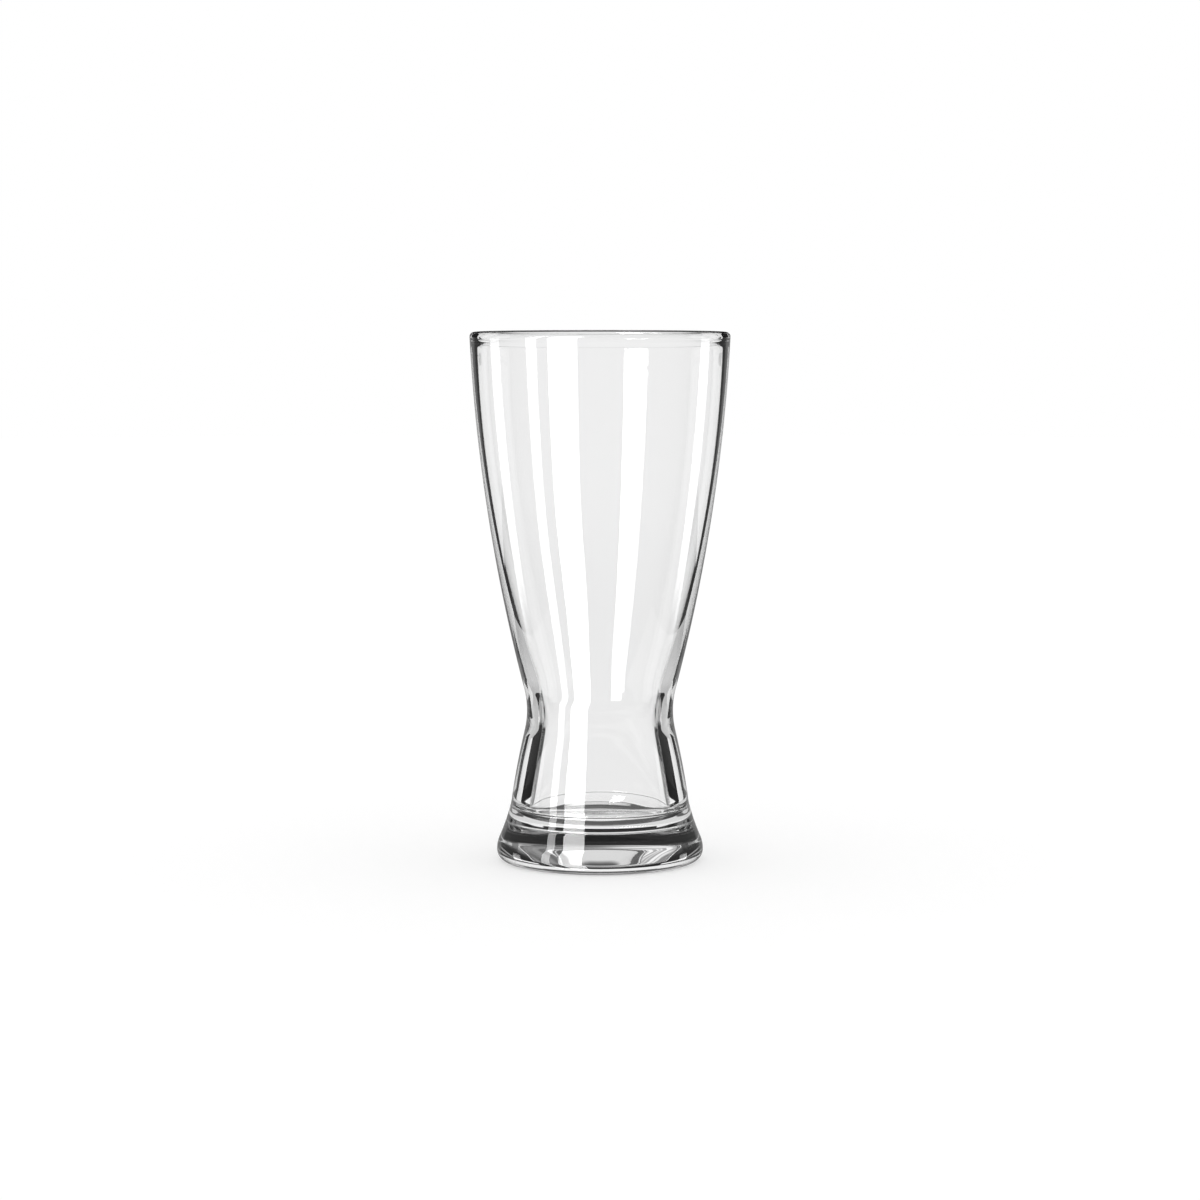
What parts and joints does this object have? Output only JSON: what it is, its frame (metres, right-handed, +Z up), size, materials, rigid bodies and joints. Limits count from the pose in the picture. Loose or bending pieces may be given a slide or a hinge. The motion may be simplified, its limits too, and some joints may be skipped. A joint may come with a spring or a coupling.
{
  "type": "pilsner glass",
  "caption": "Hourglass pilsner glass of clear glass: a flared bowl narrows to a waist over a heavy, swept foot with a rounded heel; holds a drink.",
  "frame": {"origin": "middle of the plane that the glass stands on", "axes": "+Z up along the axis of the glass, from the foot to the rim; the glass is round, so X and Y are free"},
  "size_m": [0.0832, 0.0832, 0.17],
  "materials": {
    "clear_glass": "clear polished soda-lime glass"
  },
  "bodies": {
    "root": {"pilsner_glass": "clear_glass"}
  },
  "joints": []
}
